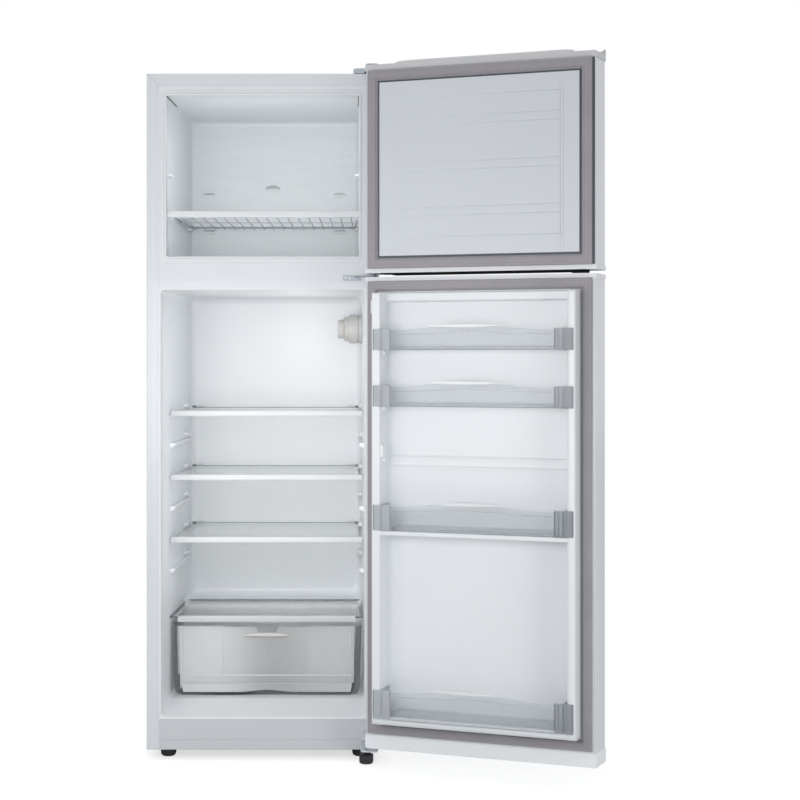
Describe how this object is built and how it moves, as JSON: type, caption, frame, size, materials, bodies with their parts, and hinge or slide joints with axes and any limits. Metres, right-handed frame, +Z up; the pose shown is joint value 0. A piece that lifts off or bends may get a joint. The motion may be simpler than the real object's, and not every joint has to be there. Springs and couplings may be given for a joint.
{
  "type": "top freezer refrigerator",
  "caption": "White two-door refrigerator with the freezer on top, standing open: glass shelves, crisper drawer, door racks and wire freezer shelf.",
  "frame": {"origin": "on the floor, under the middle of the cabinet's footprint", "axes": "+Z up, +Y towards the back of the cabinet, +X to the right seen from the front"},
  "size_m": [1.0575, 0.835, 1.641],
  "materials": {
    "white_enamel": "gloss",
    "zinc_sheet": "satin",
    "insulation": "matte",
    "liner_plastic": "gloss",
    "evaporator_aluminium": "satin",
    "white_plastic": "gloss",
    "black_metal": "satin",
    "black_plastic": "matte",
    "black_rubber": "matte",
    "hinge_steel": "satin",
    "hinge_cap_plastic": "satin",
    "clear_glass": "polished",
    "clear_plastic": "polished",
    "smoke_plastic": "gloss",
    "lamp_glass": "polished",
    "gasket_vinyl": "matte"
  },
  "bodies": {
    "cabinet": {"outer_case": "white_enamel", "back_panel": "zinc_sheet", "base_pan": "zinc_sheet", "rear_feet": "black_plastic", "cabinet_foam": "insulation", "fridge_liner": "liner_plastic", "freezer_box": "evaporator_aluminium", "freezer_frame": "white_plastic", "mullion_cover": "white_enamel", "kick_panel": "white_plastic", "fridge_evaporator": "evaporator_aluminium", "drain_tube": "white_plastic", "compressor": "black_metal", "compressor_grommets": "black_rubber", "drip_tray": "black_plastic", "condenser": "black_metal", "cord_gland": "black_plastic", "top_hinge": "hinge_steel", "top_hinge_cap": "hinge_cap_plastic", "middle_hinge": "hinge_steel", "bottom_hinge": "hinge_steel", "hinge_screws": "hinge_steel", "thermostat_housing": "white_plastic", "lamp": "lamp_glass"},
    "freezer_door": {"freezer_door_skin": "white_enamel", "freezer_door_top_cap": "white_plastic", "freezer_door_bottom_cap": "white_plastic", "freezer_door_grip": "black_plastic", "freezer_door_foam": "insulation", "freezer_door_liner": "liner_plastic", "freezer_door_gasket": "gasket_vinyl"},
    "fridge_door": {"fridge_door_skin": "white_enamel", "fridge_door_top_cap": "white_plastic", "fridge_door_bottom_cap": "white_plastic", "fridge_door_foam": "insulation", "fridge_door_liner": "liner_plastic", "fridge_door_gasket": "gasket_vinyl"},
    "left_foot": {"left_foot": "black_plastic"},
    "right_foot": {"right_foot": "black_plastic"},
    "hinge_foot": {"hinge_foot": "black_plastic"},
    "thermostat_knob": {"thermostat_knob": "white_plastic"},
    "shelf_1": {"shelf_1_glass": "clear_glass", "shelf_1_trim": "white_plastic"},
    "shelf_2": {"shelf_2_glass": "clear_glass", "shelf_2_trim": "white_plastic"},
    "shelf_3": {"shelf_3_glass": "clear_glass", "shelf_3_trim": "white_plastic"},
    "crisper_cover": {"cover_glass": "clear_glass", "cover_trim": "white_plastic"},
    "crisper_drawer": {"crisper_drawer": "clear_plastic"},
    "freezer_shelf": {"freezer_shelf_wires": "white_enamel", "freezer_shelf_bar": "white_plastic"},
    "bin_1": {"bin_1_rail": "clear_plastic", "bin_1_brackets": "smoke_plastic"},
    "bin_2": {"bin_2_rail": "clear_plastic", "bin_2_brackets": "smoke_plastic"},
    "bin_3": {"bin_3_rail": "clear_plastic", "bin_3_brackets": "smoke_plastic"},
    "bin_4": {"bin_4_rail": "clear_plastic", "bin_4_brackets": "smoke_plastic"}
  },
  "joints": [
    {"name": "freezer_door_hinge", "type": "hinge", "parent": "cabinet", "child": "freezer_door", "pos_m": [0.2613, -0.3043, 1.424], "axis": [0, 0, 1], "range_deg": [-161.35, 8.65]},
    {"name": "fridge_door_hinge", "type": "hinge", "parent": "cabinet", "child": "fridge_door", "pos_m": [0.2613, -0.3043, 0.624], "axis": [0, 0, 1], "range_deg": [-161.35, 8.65]},
    {"name": "left_foot_turn", "type": "hinge", "parent": "cabinet", "child": "left_foot", "pos_m": [-0.229, -0.215, 0.024], "axis": [0, 0, 1], "range_deg": [0, 720]},
    {"name": "right_foot_turn", "type": "hinge", "parent": "cabinet", "child": "right_foot", "pos_m": [0.229, -0.215, 0.024], "axis": [0, 0, 1], "range_deg": [0, 720]},
    {"name": "hinge_foot_turn", "type": "hinge", "parent": "cabinet", "child": "hinge_foot", "pos_m": [0.245, -0.285, 0.024], "axis": [0, 0, 1], "range_deg": [0, 720]},
    {"name": "thermostat_turn", "type": "hinge", "parent": "cabinet", "child": "thermostat_knob", "pos_m": [0.23005, 0.14, 1.027], "axis": [-0.9996, -0.0274, 0], "range_deg": [0, 270]},
    {"name": "shelf_1_slide", "type": "slide", "parent": "cabinet", "child": "shelf_1", "axis": [0, -1, 0], "range_m": [0, 0.3]},
    {"name": "shelf_2_slide", "type": "slide", "parent": "cabinet", "child": "shelf_2", "axis": [0, -1, 0], "range_m": [0, 0.3]},
    {"name": "shelf_3_slide", "type": "slide", "parent": "cabinet", "child": "shelf_3", "axis": [0, -1, 0], "range_m": [0, 0.3]},
    {"name": "crisper_cover_slide", "type": "slide", "parent": "cabinet", "child": "crisper_cover", "axis": [0, -1, 0], "range_m": [0, 0.22]},
    {"name": "crisper_drawer_slide", "type": "slide", "parent": "cabinet", "child": "crisper_drawer", "axis": [0, -1, 0], "range_m": [0, 0.25]},
    {"name": "freezer_shelf_slide", "type": "slide", "parent": "cabinet", "child": "freezer_shelf", "axis": [0, -1, 0], "range_m": [0, 0.3]},
    {"name": "bin_1_lift", "type": "slide", "parent": "fridge_door", "child": "bin_1", "axis": [0, 0, 1], "range_m": [0, 0.03]},
    {"name": "bin_2_lift", "type": "slide", "parent": "fridge_door", "child": "bin_2", "axis": [0, 0, 1], "range_m": [0, 0.03]},
    {"name": "bin_3_lift", "type": "slide", "parent": "fridge_door", "child": "bin_3", "axis": [0, 0, 1], "range_m": [0, 0.03]},
    {"name": "bin_4_lift", "type": "slide", "parent": "fridge_door", "child": "bin_4", "axis": [0, 0, 1], "range_m": [0, 0.03]}
  ]
}
